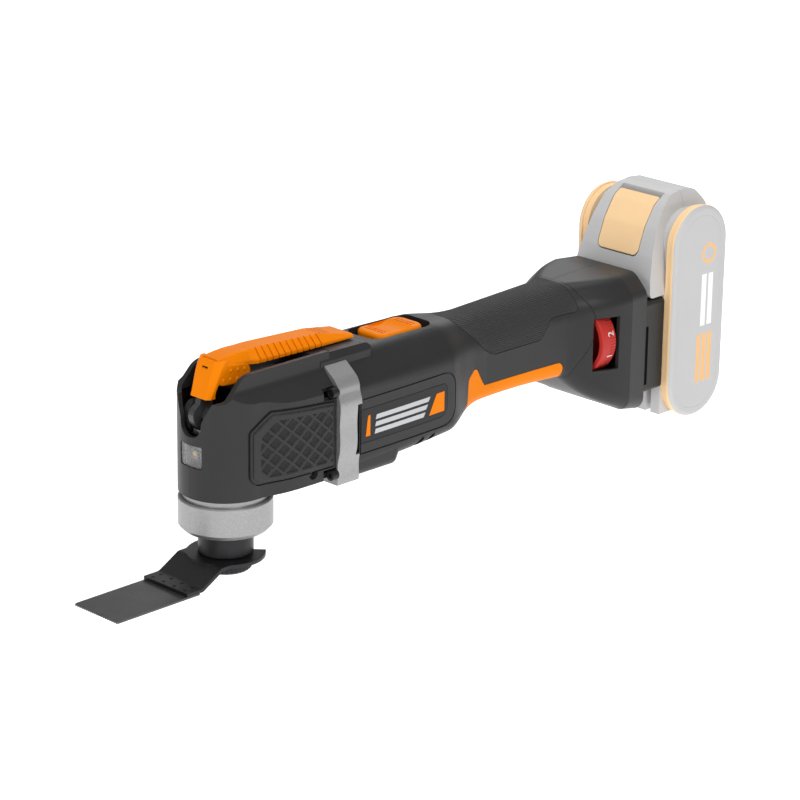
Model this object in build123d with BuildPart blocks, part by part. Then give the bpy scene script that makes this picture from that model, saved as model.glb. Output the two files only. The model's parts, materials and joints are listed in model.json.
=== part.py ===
from build123d import *
import math
import os

# Cordless oscillating multi tool with its battery pack.
# Frame: origin on the spindle axis at the middle of the head collar, +X towards the blade,
# +Y to the tool's left, +Z up. Millimetres.

# ---------------------------------------------------------------- driving dimensions
wall = 2.6
seam = 0.25
parting = 0.06
running = 0.3

collar_radius = 25.6
collar_top = 10.3
collar_bottom = -11.5
spindle_flange_radius = 15.0
spindle_bottom = -25.9
spindle_radius = 8.5
bore_radius = 6.6

holder_thickness = 2.0
holder_disc_radius = 21.5
holder_half_width = 17.5
blade_half_width = 17.2
blade_tip = 91.2
blade_thickness = 1.2
clamp_disc_radius = 14.2
stud_radius = 4.0

head_radius = 25.5
head_bottom = collar_top
rim_height = 78.4
rim_front_height = 64.8
channel_half = 17.0

body_half = 30.0
band_front = -53.0
band_rear = -69.0
bolt_y = 29.8

shaft_height = 36.0
can_radius = 20.5
can_front = -58.0
can_rear = -106.0
throw = 0.6

lever_pivot_x = 15.5
lever_pivot_z = 55.0
lever_pin_radius = 2.5
lever_range = 105.0
clamp_travel = 2.0

switch_front = -105.0
switch_rear = -140.0
switch_half = 11.0
switch_travel = 5.5

foot_rear = -302.0
rail_rear = -320.0
rail_half = 32.0
rail_bottom = 0.0
rail_top = 56.0
dial_x = -270.0
dial_z = 38.0
dial_centre = 12.6
dial_outer = 21.0
dial_front = -264.6
dial_back = -276.2

battery_front = -320.4
battery_back = -368.4
battery_low = -21.6
battery_high = 108.6
battery_half = 38.5
stripe_inner = 30.5
stripe_outer = 35.0

os.makedirs("parts", exist_ok=True)


def save(builder, name):
    builder.part.label = name
    export_step(builder.part, f"parts/{name}.step")


# ---------------------------------------------------------------- section of the body
def body_section(x, half, bottom, top, cut_y, cut_z, low, high, inset=0.0):
    """Closed section across the body: flat belly, upright sides, sloped shoulders."""
    w = half - inset
    b = bottom + inset
    t = top - inset
    cy = cut_y - 0.4 * inset
    cz = cut_z - 0.4 * inset
    with BuildSketch(Plane.YZ.offset(x)) as face:
        with BuildLine():
            Polyline((w, b), (w, t - cz), (w - cy, t), (cy - w, t), (-w, t - cz), (-w, b), close=True)
        make_face()
        fillet(face.vertices().filter_by(lambda v: v.Y > b + 1), high - 0.5 * inset)
        fillet(face.vertices().filter_by(lambda v: v.Y < b + 0.01), low - 0.5 * inset)
    return face.sketch


# x, half width, bottom, top, shoulder width, shoulder height, belly radius, shoulder radius
body_rear = (-145.0, 28.6, 12.0, 73.4, 14.0, 15.0, 8.0, 15.0)
handle_front = (-180.0, 20.6, 20.8, 70.8, 12.0, 12.0, 8.0, 18.0)
handle_rear = (-246.0, 21.5, 19.5, 73.0, 12.0, 12.0, 8.0, 18.0)
foot_edge = (-287.0, 35.8, -7.0, 74.6, 10.5, 10.5, 9.0, 9.4)
foot_end = (foot_rear, 33.8, -10.4, 73.8, 10.5, 10.5, 9.0, 9.0)
barrel_run = [
    (-56.0, 30.0, 10.2, 73.0, 13.5, 15.0, 6.0, 7.0),
    (-102.0, 30.0, 10.4, 73.4, 14.0, 15.0, 7.0, 11.5),
    body_rear,
]
neck_run = [
    body_rear,
    (-150.5, 27.2, 12.9, 73.0, 13.6, 14.6, 8.0, 15.2),
    (-158.0, 24.2, 15.5, 72.2, 13.0, 13.6, 8.0, 15.8),
    (-167.0, 21.7, 18.8, 71.3, 12.3, 12.6, 8.0, 16.8),
    handle_front,
]
handle_run = [
    handle_front,
    (-213.0, 20.6, 21.0, 72.1, 12.0, 12.0, 8.0, 18.0),
    handle_rear,
]
foot_run = [
    handle_rear,
    (-253.0, 23.6, 13.0, 73.2, 12.0, 12.0, 8.0, 15.0),
    (-262.0, 28.0, 6.0, 73.6, 11.5, 11.5, 8.0, 12.0),
    (-274.0, 33.0, -0.5, 74.2, 11.0, 11.0, 8.0, 10.0),
    foot_edge,
]
tail_run = [foot_edge, foot_end]


def loft_through(runs, inset=0.0):
    """One solid through several runs of sections, each run smooth in itself."""
    with BuildPart() as solid:
        for run in runs:
            loft(sections=[body_section(*station, inset=inset) for station in run])
    return solid.part


# ---------------------------------------------------------------- head
head_back = -57.0


def head_solid(inset=0.0, low=head_bottom, high=rim_height):
    """Upright D-shaped head with sloped shoulders and a rim that dips at the nose."""
    r = head_radius - inset
    with BuildPart() as solid:
        with BuildSketch(Plane.XY.offset(low)) as plan:
            with BuildLine():
                Line((head_back, -body_half + inset), (-45, 0.4 - body_half + inset))
                Spline((-45, 0.4 - body_half + inset), (-14, 2.2 - body_half + inset), (0, -r),
                       tangents=((1, 0.03), (1, 0.0)))
                ThreePointArc((0, -r), (r, 0), (0, r))
                Spline((0, r), (-14, body_half - 2.2 - inset), (-45, body_half - 0.4 - inset),
                       tangents=((-1, 0.0), (-1, 0.03)))
                Line((-45, body_half - 0.4 - inset), (head_back, body_half - inset))
                Line((head_back, body_half - inset), (head_back, -body_half + inset))
            make_face()
        extrude(amount=high - low)
        with BuildSketch(Plane.YZ.offset(head_back - 1)) as across:
            s = inset
            with BuildLine():
                Polyline((31 - s, -5), (31 - s, 58 - 0.4 * s), (20 - s, 69.6 - 0.6 * s), (18.9 - s, 95),
                         (s - 18.9, 95), (s - 20, 69.6 - 0.6 * s), (s - 31, 58 - 0.4 * s), (s - 31, -5),
                         close=True)
            make_face()
            fillet(across.vertices().filter_by(lambda v: 55 < v.Y < 62), 6)
            fillet(across.vertices().filter_by(lambda v: 68 < v.Y < 72), 5)
        extrude(amount=90, mode=Mode.INTERSECT)
    return solid.part


def rim_cut():
    """What is removed above the rim: low at the nose, rising over the finger pads."""
    with BuildPart() as solid:
        with BuildSketch(Plane.XZ.offset(-40)) as outline:
            with BuildLine():
                Polyline((40, rim_front_height), (17.5, rim_front_height), (4.5, rim_height),
                         (-20, rim_height), (-20, 100), (40, 100), close=True)
            make_face()
            fillet(outline.vertices().filter_by(lambda v: abs(v.X - 17.5) < 0.1), 5)
            fillet(outline.vertices().filter_by(lambda v: abs(v.X - 4.5) < 0.1), 12)
        extrude(amount=80)
    return solid.part


def slot_cut():
    """U slot in the nose, through which the lever arm swings."""
    with BuildPart() as solid:
        with BuildSketch(Plane.YZ.offset(2)) as outline:
            with BuildLine():
                Polyline((-15, 70), (-13.6, 65), (-8.0, 54), (-7.2, 44.8), (7.2, 44.8), (8.0, 54),
                         (13.6, 65), (15, 70), close=True)
            make_face()
            fillet(outline.vertices().filter_by(lambda v: v.Y < 46), 6.5)
            fillet(outline.vertices().filter_by(lambda v: 53 < v.Y < 55), 8)
        extrude(amount=30)
    return solid.part


# ---------------------------------------------------------------- housing solids
all_runs = [barrel_run, neck_run, handle_run, foot_run, tail_run]
outer_body = loft_through(all_runs)
inner_body = loft_through(all_runs, wall)
outer_head = head_solid()
inner_head = head_solid(wall, head_bottom + wall, rim_front_height)
rim_waste = rim_cut()
nose_slot = slot_cut()



def side_prism(points, radii, y_from, y_to, grow=0.0):
    """Prism along Y from a side-view outline; radii rounds the corners that it names."""
    with BuildPart() as solid:
        with BuildSketch(Plane.XZ.offset(-y_from)) as outline:
            with BuildLine():
                Polyline(*points, close=True)
            make_face()
            for corner, radius in radii:
                px, pz = points[corner]
                near = outline.vertices().filter_by(lambda v: abs(v.X - px) + abs(v.Y - pz) < 0.01)
                fillet(near, radius)
            if grow:
                offset(amount=grow, mode=Mode.REPLACE)
        extrude(amount=y_from - y_to)
    return solid.part


def block(x_from, x_to, y_from, y_to, z_from, z_to):
    with BuildPart() as solid:
        with Locations(((x_from + x_to) / 2, (y_from + y_to) / 2, (z_from + z_to) / 2)):
            Box(abs(x_to - x_from), abs(y_to - y_from), abs(z_to - z_from))
    return solid.part


def rod_x(x_from, x_to, radius, y=0.0, z=shaft_height, hole=0.0):
    """Round bar or ring along X."""
    with BuildPart() as solid:
        with BuildSketch(Plane.YZ.offset(min(x_from, x_to))):
            with Locations((y, z)):
                Circle(radius)
                if hole:
                    Circle(hole, mode=Mode.SUBTRACT)
        extrude(amount=abs(x_to - x_from))
    return solid.part


def rod_y(x, z, y_from, y_to, radius, hole=0.0):
    """Round bar or ring along Y."""
    with BuildPart() as solid:
        with BuildSketch(Plane.XZ.offset(-min(y_from, y_to))):
            with Locations((x, z)):
                Circle(radius)
                if hole:
                    Circle(hole, mode=Mode.SUBTRACT)
        extrude(amount=-abs(y_to - y_from))
    return solid.part


def ring_z(z_from, z_to, radius, hole=0.0):
    """Round bar or ring on the spindle axis."""
    with BuildPart() as solid:
        with BuildSketch(Plane.XY.offset(min(z_from, z_to))):
            Circle(radius)
            if hole:
                Circle(hole, mode=Mode.SUBTRACT)
        extrude(amount=abs(z_to - z_from))
    return solid.part


# ---------------------------------------------------------------- housing
full_width = (-60.0, 60.0)
seam_points = [(-254.5, 90), (-257.5, 68), (-263.5, 50), (-257.5, 33), (-247.5, 20), (-241, 0)]


def foot_region(shift=0.0):
    """Everything behind the curved joint between handle and foot."""
    with BuildPart() as solid:
        with BuildSketch(Plane.XZ.offset(-full_width[0])):
            with BuildLine():
                Spline(*[(x + shift, z) for x, z in seam_points])
                Line((seam_points[-1][0] + shift, 0), (-246 + shift, -40))
                Line((-246 + shift, -40), (-330, -40))
                Line((-330, -40), (-330, 90))
                Line((-330, 90), (seam_points[0][0] + shift, 90))
            make_face()
        extrude(amount=full_width[0] - full_width[1])
    return solid.part


trim_outline = [(-170.5, 44), (-163.5, 38), (-162.5, 24), (-154.5, 12.5), (-151, -2), (-243.5, -2),
                (-243.5, 30.6), (-178.5, 31.2), (-176.5, 33.5)]
trim_rounds = [(0, 2.5), (1, 4), (2, 12), (6, 4.2)]
grip_outline = [(-153, 80), (-177.5, 52.5), (-186, 47.9), (-224.5, 47.9), (-233.5, 59.2), (-254, 59.2),
                (-253, 80)]
grip_rounds = [(1, 8), (2, 9), (3, 5), (4, 5), (5, 3)]
pad_outline = [(5.2, 22), (5.2, 48.5), (-8.5, 57.2), (-50.5, 53.8), (-50.5, 17.8), (0, 18.6)]
pad_rounds = [(0, 4), (1, 3), (2, 3), (5, 5)]
label_outline = [(-71, 50), (-146.5, 50), (-146.5, 19.2), (-71, 19.2)]
label_rounds = [(1, 9.5), (2, 9.5)]
plate_outline = [(-71.5, 44), (-139.5, 44), (-139.5, 25), (-71.5, 25)]
plate_rounds = [(1, 4), (2, 6)]


groove_body = loft_through([barrel_run, neck_run], 0.7)
label_core = loft_through([barrel_run, neck_run], 0.5)
grip_body = loft_through([neck_run, handle_run, foot_run[:3]], 1.8)
grip_core = loft_through([neck_run, handle_run, foot_run[:3]], 1.6)
proud_head = head_solid(-0.9)
deep_head = head_solid(0.8)

# x, z, +1 when the head is on the left side
screw_places = [(-36.8, 16.2, 1), (-90, 62.5, -1), (-136, 22, -1), (-190, 38, -1), (-236, 38, -1),
                (-287, 65, -1), (-287, 6, -1)]
screw_head_radius = 2.9
screw_radius = 1.6

with BuildPart() as bulge:
    add(side_prism([(-56, 5.8), (-100.5, 5.8), (-103.5, 12), (-103.5, 16), (-56, 16)], [(1, 4)],
                   -29.85, 29.85))
    fillet(bulge.edges().filter_by(Axis.X).group_by(Axis.Z)[0], 5)

with BuildPart() as cap:
    add(side_prism([(-50.5, 64), (-50.5, 77.5), (-86, 77.0), (-91, 72.5), (-91, 64)], [(1, 1.5), (2, 4)],
                   -20.3, 20.3))
    with BuildSketch(Plane.YZ.offset(-95)):
        with BuildLine():
            Polyline((20.3, 60), (20.3, 73), (18.4, 77.6), (18.4, 90), (-18.4, 90), (-18.4, 77.6), (-20.3, 73),
                     (-20.3, 60), close=True)
        make_face()
    extrude(amount=60, mode=Mode.INTERSECT)
    fillet(cap.edges().filter_by(Axis.Z).group_by(Axis.X)[0], 5)

with BuildPart() as hull:
    add(outer_head)
    add(rim_waste, mode=Mode.SUBTRACT)
    add(outer_body)
    add(bulge.part)
    add(cap.part)

with BuildPart() as hollow:
    add(inner_head)
    add(inner_body)
    add(block(-58, -99, -27, 27, 8.4, 14))
    extrude(body_section(foot_rear - 1, *foot_end[1:], inset=wall), amount=2)

with BuildPart() as pocket:
    with BuildSketch(Plane.XY.offset(66)):
        with Locations(((switch_front + switch_rear) / 2 + 0.5, 0)):
            RectangleRounded(47, 2 * switch_half + 3, 7)
    extrude(amount=20)

with BuildPart() as tray:
    with BuildSketch(Plane.XY.offset(63.6)):
        with Locations(((switch_front + switch_rear) / 2 + 0.5, 0)):
            RectangleRounded(51.6, 2 * switch_half + 7.6, 9)
    extrude(amount=8.6)

with BuildPart() as channel:
    add(block(-49, 0, -channel_half, channel_half, 68.6, 90))
    add(head_solid(wall, 46.0, 90.0))
    add(block(-60, -3, -40, 40, 40, 68.6), mode=Mode.SUBTRACT)
    add(block(-60, 40, channel_half, 40, 40, 95), mode=Mode.SUBTRACT)
    add(block(-60, 40, -40, -channel_half, 40, 95), mode=Mode.SUBTRACT)
    add(block(-60, -49, -40, 40, 40, 95), mode=Mode.SUBTRACT)
    add(block(-60, -48, -channel_half, channel_half, 77.0, 90))

with BuildPart() as window:
    add(block(10, 30, -8.2, 8.2, 28, 40.4))
    fillet(window.edges().filter_by(Axis.X), 1.2)

with BuildPart() as bolts:
    for side in (-1, 1):
        for height in (12.3, 59.0):
            add(rod_x(-52.8, -48.4, 2.9, side * bolt_y, height))
            add(rod_x(-61, -52.8, 0.9, side * bolt_y, height))
    for side in (-1, 1):
        for height in (12.3, 59.0):
            add(rod_x(-49.8, -48.3, 1.5, side * bolt_y, height), mode=Mode.SUBTRACT)

with BuildPart() as bolt_recess:
    for side in (-1, 1):
        for height in (12.3, 59.0):
            add(rod_x(-52.9, -44, 3.7, side * bolt_y, height))


def vent_cut():
    with BuildPart() as solid:
        with BuildSketch(Plane.XZ.offset(60)):
            with Locations((-117.8, 13.3), (-126.8, 13.3)):
                SlotOverall(9.4, 2.9, rotation=-42)
        extrude(amount=-120)
    return solid.part


with BuildPart() as shell:
    add(hull.part)
    add(hollow.part, mode=Mode.SUBTRACT)
    add(tray.part)
    add(pocket.part, mode=Mode.SUBTRACT)
    add(channel.part, mode=Mode.SUBTRACT)
    add(nose_slot, mode=Mode.SUBTRACT)
    add(window.part, mode=Mode.SUBTRACT)
    add(ring_z(0, 20, 19.7), mode=Mode.SUBTRACT)
    add(block(-111.8, -124.6, -3.6, 3.6, 60, 70), mode=Mode.SUBTRACT)
    add(block(dial_x - 8, dial_x + 8, 18, 45, dial_z - 16, dial_z + 16), mode=Mode.SUBTRACT)
    add(rod_x(dial_back - 0.8, dial_front + 0.8, dial_outer + 0.8, dial_centre, dial_z), mode=Mode.SUBTRACT)
    add(vent_cut(), mode=Mode.SUBTRACT)
    add(bolts.part, mode=Mode.SUBTRACT)
    add(bolt_recess.part, mode=Mode.SUBTRACT)



# ---------------------------------------------------------------- skin panels
def skin(outer, inner, region):
    """Layer between two nested solids, kept only inside a region."""
    with BuildPart() as solid:
        add(outer)
        add(inner, mode=Mode.SUBTRACT)
        add(region, mode=Mode.INTERSECT)
    return solid.part


def halves(solid, name, gap=0.0):
    """Write the left and the right half of a symmetric piece, split on the middle plane."""
    for side, label in ((1, "left"), (-1, "right")):
        with BuildPart() as half:
            add(solid)
            add(block(-400, 60, side * gap, side * 80, -80, 140), mode=Mode.INTERSECT)
        save(half, f"{label}_{name}")


grip_region = side_prism(grip_outline, grip_rounds, *full_width)
trim_region = side_prism(trim_outline, trim_rounds, *full_width)
grip_hole = side_prism(grip_outline, grip_rounds, *full_width, grow=seam)
trim_hole = side_prism(trim_outline, trim_rounds, *full_width, grow=seam)


def outside(region, core):
    """What of a region lies outside a core solid."""
    with BuildPart() as solid:
        add(region)
        add(core, mode=Mode.SUBTRACT)
    return solid.part



with BuildPart() as rear_grip:
    add(skin(outer_body, grip_core, grip_region))
save(rear_grip, "rear_grip")

with BuildPart() as lower_trim:
    add(skin(outer_body, inner_body, trim_region))
save(lower_trim, "lower_trim")

pad_region = side_prism(pad_outline, pad_rounds, *full_width)
pad_hole = side_prism(pad_outline, pad_rounds, *full_width, grow=1.0)
with BuildPart() as side_pads:
    add(proud_head)
    add(deep_head, mode=Mode.SUBTRACT)
    add(pad_region, mode=Mode.INTERSECT)
    fillet(side_pads.faces().filter_by(lambda f: abs(f.center().Y) > 26.5
                                       and f.area > 900).edges(), 0.5)
halves(side_pads.part, "side_pad")

plate_region = side_prism(plate_outline, plate_rounds, *full_width)
plate_hole = side_prism(plate_outline, plate_rounds, *full_width, grow=seam)
with BuildPart() as label_plates:
    add(skin(outer_body, label_core, plate_region))
save(label_plates, "label_plates")

with BuildPart() as label_groove:
    add(side_prism(label_outline, label_rounds, *full_width, grow=0.4))
    add(side_prism(label_outline, label_rounds, *full_width, grow=-0.4), mode=Mode.SUBTRACT)

band_outer = [(19.4, 71.8), (22.6, 69.4), (26.2, 66.6), (29.6, 63.4), (31.1, 60.0), (31.5, 57.2), (32.7, 53.4),
              (32.8, 41.0), (32.6, 24.0), (31.3, 18.6), (31.0, 15.0), (31.0, 11.5), (31.2, 8.4), (30.9, 5.6)]
with BuildPart() as bands:
    with BuildSketch(Plane.YZ.offset(band_rear)):
        with BuildLine():
            Spline(*band_outer)
            Polyline(band_outer[-1], (20, 5.6), (12, 68), band_outer[0])
        make_face()
        mirror(about=Plane.YZ)
    extrude(amount=band_front - band_rear)
    add(outer_head, mode=Mode.SUBTRACT)
    add(outer_body, mode=Mode.SUBTRACT)
    add(bulge.part, mode=Mode.SUBTRACT)
    add(cap.part, mode=Mode.SUBTRACT)
    add(block(band_rear - 1, band_rear + 3.2, -40, 40, 20.5, 49.5), mode=Mode.SUBTRACT)
    add(block(-80, -40, -19, 19, -10, 90), mode=Mode.SUBTRACT)
    add(bolts.part, mode=Mode.SUBTRACT)
    fillet(bands.edges().filter_by(Axis.Y, tolerance=20).filter_by(lambda e: e.length < 2.6
           and e.center().X < band_rear + 4 and 19 < e.center().Z < 51), 0.9)
halves(bands.part, "band")
save(bolts, "band_bolts")

with BuildPart() as left_bosses:
    for x, z, side in screw_places:
        add(rod_y(x, z, 0, 50, 4.4))
    add(hull.part, mode=Mode.INTERSECT)
with BuildPart() as right_bosses:
    for x, z, side in screw_places:
        add(rod_y(x, z, -50, 0, 4.4))
    add(hull.part, mode=Mode.INTERSECT)


def screw_depth(x, z):
    """How far from the middle plane the screw heads sit, a little below the outer skin."""
    with BuildPart() as probe:
        add(rod_y(x, z, 0, 60, 0.5))
        add(hull.part, mode=Mode.INTERSECT)
    return probe.part.bounding_box().max.Y - 3.4


with BuildPart() as housing_screws:
    for x, z, side in screw_places:
        depth = screw_depth(x, z)
        add(rod_y(x, z, side * (depth - 2.0), side * depth, screw_head_radius))
        add(rod_y(x, z, side * (depth - 2.0), -side * 9.0, screw_radius))
        add(rod_y(x, z, side * (depth - 1.1), side * depth, 1.3), mode=Mode.SUBTRACT)
save(housing_screws, "housing_screws")

with BuildPart() as screw_holes:
    for x, z, side in screw_places:
        depth = screw_depth(x, z)
        add(rod_y(x, z, side * (depth - 2.0), side * 50, screw_head_radius + 0.2))
        add(rod_y(x, z, side * depth, -side * 9.0, screw_radius))

with BuildPart() as motor_ribs:
    add(block(-62, -65, -40, 40, 0, 80))
    add(block(-100, -103, -40, 40, 0, 80))
    add(inner_body, mode=Mode.INTERSECT)
    add(block(-110, -60, -40, 40, 60, 80), mode=Mode.SUBTRACT)
    add(rod_x(-110, -55, can_radius), mode=Mode.SUBTRACT)

with BuildPart() as carcass:
    add(shell.part)
    add(motor_ribs.part)
    add(left_bosses.part)
    add(right_bosses.part)
    add(trim_hole, mode=Mode.SUBTRACT)
    add(outside(grip_hole, grip_body), mode=Mode.SUBTRACT)
    add(outside(pad_hole, deep_head), mode=Mode.SUBTRACT)
    add(outside(plate_hole, groove_body), mode=Mode.SUBTRACT)
    add(outside(label_groove.part, groove_body), mode=Mode.SUBTRACT)
    add(block(band_rear - 1.2, band_rear + 3.6, 28.6, 40, 20.5, 49.5), mode=Mode.SUBTRACT)
    add(block(band_rear - 1.2, band_rear + 3.6, -40, -28.6, 20.5, 49.5), mode=Mode.SUBTRACT)
    add(screw_holes.part, mode=Mode.SUBTRACT)
    add(bolts.part, mode=Mode.SUBTRACT)

with BuildPart() as main_housing:
    add(carcass.part)
    add(foot_region(), mode=Mode.SUBTRACT)
halves(main_housing.part, "housing", parting)

with BuildPart() as foot_housing:
    add(carcass.part)
    add(foot_region(-seam), mode=Mode.INTERSECT)
halves(foot_housing.part, "foot_shell", parting)

# ---------------------------------------------------------------- head: collar, bearings, spindle
with BuildPart() as collar:
    with BuildSketch(Plane.XZ) as profile:
        with BuildLine():
            Polyline((15.7, collar_bottom), (23.2, collar_bottom), (collar_radius, -8.9), (collar_radius, 6.0),
                     (24.8, 6.8), (23.3, 6.8), (23.3, collar_top), (19.5, collar_top), (19.5, 13),
                     (12, 13), (12, 5), (17.5, 5), (17.5, -5.4), (15.7, -5.4), close=True)
        make_face()
    revolve(axis=Axis.Z)
save(collar, "collar")


def shielded(rod, start, end, outer, inner):
    """Bearing whose shields sit half a millimetre below both faces of its rings."""
    mid = (outer + inner) / 2
    depth = 0.5
    with BuildPart() as bearing:
        add(rod(start, end, outer, inner))
        add(rod(start, start + depth, mid + 1.4, mid - 1.4), mode=Mode.SUBTRACT)
        add(rod(end - depth, end, mid + 1.4, mid - 1.4), mode=Mode.SUBTRACT)
    return bearing.part


def bearing_z(start, end, outer, inner):
    return shielded(lambda a, b, r, h: ring_z(a, b, r, h), start, end, outer, inner)


def bearing_x(start, end, outer, inner, z=shaft_height):
    return shielded(lambda a, b, r, h: rod_x(a, b, r, 0.0, z, h), start, end, outer, inner)


fit = 0.05
with BuildPart() as spindle_bearings:
    add(bearing_z(-5.4, 5.0, 17.5, spindle_radius + fit))
    add(bearing_z(19.0, 26.0, 15.0, spindle_radius + fit))
save(spindle_bearings, "spindle_bearings")

spindle_top = 40.0
with BuildPart() as spindle:
    with BuildSketch(Plane.XZ):
        with BuildLine():
            Polyline((bore_radius, spindle_bottom), (spindle_flange_radius - 0.8, spindle_bottom),
                     (spindle_flange_radius, spindle_bottom + 0.8), (spindle_flange_radius, -6.2),
                     (spindle_radius, -6.2), (spindle_radius, spindle_top), (3.1, spindle_top), (3.1, 32),
                     (bore_radius, 32), (bore_radius, 0), (3.1, 0), (3.1, -4), (bore_radius, -4), close=True)
        make_face()
    revolve(axis=Axis.Z)
    with BuildSketch(Plane.XY.offset(spindle_bottom)):
        with PolarLocations(10.4, 8):
            Circle(1.2)
    extrude(amount=-1.8)
save(spindle, "spindle")

with BuildPart() as fork:
    add(ring_z(31.5, 39.0, 13.0, spindle_radius))
    for side in (-1, 1):
        add(block(-27, -2, side * 9.15, side * 13.4, 31.5, 39.0))
    add(ring_z(31.0, 40.0, spindle_radius), mode=Mode.SUBTRACT)
save(fork, "spindle_fork")

with BuildPart() as gearbox_case:
    add(ring_z(13.0, 41.8, 20.6))
    add(block(-46, 0, -18.5, 18.5, 13.0, 41.8))
    add(block(17.2, 25, -30, 30, 0, 60), mode=Mode.SUBTRACT)
    add(block(-46, -16, -15, 15, 41.8, 49.6))
    for side in (-1, 1):
        add(side_prism([(9, 40), (9, 61.5), (20.4, 61.5), (20.4, 47), (17.2, 43), (17.2, 40)],
                       [(1, 5.4), (2, 5.4)], 5.2 if side > 0 else -9.4, 9.4 if side > 0 else -5.2))
    add(ring_z(28.0, 39.6, 16.0), mode=Mode.SUBTRACT)
    add(block(-36, 0, -16, 16, 28.0, 39.6), mode=Mode.SUBTRACT)
    add(rod_x(-36, -17.8, 10.8), mode=Mode.SUBTRACT)
    add(rod_x(-46, -38, 11.0), mode=Mode.SUBTRACT)
    add(rod_x(-40, -30, 8.0), mode=Mode.SUBTRACT)
    add(ring_z(12, 19, 12.6), mode=Mode.SUBTRACT)
    add(ring_z(19, 26, 15.0), mode=Mode.SUBTRACT)
    add(ring_z(26, 29, 13.0), mode=Mode.SUBTRACT)
    add(ring_z(39, 43, 10.0), mode=Mode.SUBTRACT)
    add(block(-50, -27, -40, 40, 10, 21.6), mode=Mode.SUBTRACT)
    add(rod_y(lever_pivot_x, lever_pivot_z, -12, 12, lever_pin_radius), mode=Mode.SUBTRACT)
save(gearbox_case, "gearbox_case")

# ---------------------------------------------------------------- blade clamp
yoke_top = 47.6
yoke_bottom = 44.6
with BuildPart() as yoke:
    add(block(0, 20, -4.4, 4.4, yoke_bottom, yoke_top))
    add(ring_z(yoke_bottom, yoke_top, 7.0))
    fillet(yoke.edges().filter_by(Axis.Z).group_by(Axis.X)[-1], 2)
save(yoke, "release_yoke")

with BuildPart() as clamp_rod:
    add(ring_z(-6.4, yoke_bottom, 2.6))
    add(ring_z(24.0, 26.0, 6.1))
save(clamp_rod, "clamp_rod")

spring_turns = 9
with BuildPart() as clamp_spring:
    with BuildLine() as coil:
        Helix(pitch=22.4 / spring_turns, height=22.4, radius=4.6, center=(0, 0, 0.8))
    with BuildSketch(Plane(origin=coil.line @ 0, z_dir=coil.line % 0)):
        Circle(0.7)
    sweep()
save(clamp_spring, "clamp_spring")

with BuildPart() as jaws:
    add(ring_z(-20.0, -9.0, 6.3, stud_radius + running))
    add(block(-10, 10, -0.5, 0.5, -21, -8), mode=Mode.SUBTRACT)
    add(block(-4.9, -10, -10, 10, -15.5, -13.5), mode=Mode.SUBTRACT)
    add(block(4.9, 10, -10, 10, -15.5, -13.5), mode=Mode.SUBTRACT)
save(jaws, "clamp_jaws")

holder_top = spindle_bottom - running
holder_low = holder_top - holder_thickness
crank_drop = 7.8
with BuildPart() as blade_holder:
    with BuildSketch(Plane.XZ.offset(-holder_half_width)):
        with BuildLine():
            Polyline((2, holder_top), (18.5, holder_top), (32.5, holder_top - crank_drop),
                     (43, holder_top - crank_drop), (43, holder_low - crank_drop),
                     (32.0, holder_low - crank_drop), (18.0, holder_low), (2, holder_low), close=True)
        make_face()
    extrude(amount=2 * holder_half_width)
    fillet(blade_holder.edges().filter_by(Axis.Y).filter_by(lambda e: 17 < e.center().X < 19), 4)
    fillet(blade_holder.edges().filter_by(Axis.Y).filter_by(lambda e: 31 < e.center().X < 33), 4)
    add(ring_z(holder_low, holder_top, holder_disc_radius))
    fillet(blade_holder.edges().filter_by(Axis.Z).filter_by(lambda e: abs(e.center().Y) > 17
                                                            and 8 < e.center().X < 16), 5)
    with BuildSketch(Plane.XY.offset(holder_low - 1)):
        Circle(stud_radius + 2.0)
        with PolarLocations(10.4, 8):
            Circle(1.5)
        with BuildLine():
            Polyline((-32, 30), (-12.5, 8.6), (-9, 4.8), (0, 4.8), (0, -4.8), (-9, -4.8), (-12.5, -8.6), (-32, -30),
                     close=True)
        make_face()
    extrude(amount=holder_thickness + 2, mode=Mode.SUBTRACT)
    with BuildSketch(Plane.XY.offset(holder_top - crank_drop - 0.4)):
        with Locations((38, 0)):
            with GridLocations(5.5, 8.5, 2, 4):
                Circle(1.0)
    extrude(amount=2, mode=Mode.SUBTRACT)
save(blade_holder, "blade_holder")

blade_top = holder_low - crank_drop
teeth = 20
tooth_pitch = 2 * blade_half_width / teeth
tooth_depth = 1.3
tooth_line = []
for tooth in range(teeth):
    start = -blade_half_width + tooth * tooth_pitch
    tooth_line.append((blade_tip - tooth_depth, start))
    tooth_line.append((blade_tip, start + tooth_pitch / 2))
tooth_line.append((blade_tip - tooth_depth, blade_half_width))
with BuildPart() as blade:
    with BuildSketch(Plane.XY.offset(blade_top)):
        with BuildLine():
            Polyline((34, blade_half_width), (34, -blade_half_width), *tooth_line, close=True)
        make_face()
    extrude(amount=-blade_thickness)
save(blade, "saw_blade")

bolt_top = holder_low - running
bolt_bottom = -35.0
knurls = 36
with BuildPart() as clamp_bolt:
    add(ring_z(bolt_bottom, bolt_top, clamp_disc_radius))
    chamfer(clamp_bolt.edges().filter_by(GeomType.CIRCLE).group_by(Axis.Z)[0], 1.0)
    with BuildSketch(Plane.XY.offset(bolt_bottom - 1)):
        with PolarLocations(clamp_disc_radius + 0.3, knurls):
            Circle(0.75)
    extrude(amount=bolt_top - bolt_bottom - 1, mode=Mode.SUBTRACT)
    with BuildSketch(Plane.XY.offset(bolt_bottom)):
        Circle(9.5)
        RectangleRounded(3.0, 15.0, 1.2, mode=Mode.SUBTRACT)
    extrude(amount=1.2, mode=Mode.SUBTRACT)
    add(ring_z(bolt_top, -9.4, stud_radius))
    chamfer(clamp_bolt.edges().filter_by(GeomType.CIRCLE).group_by(Axis.Z)[-1], 0.8)
save(clamp_bolt, "clamp_bolt")

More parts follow.
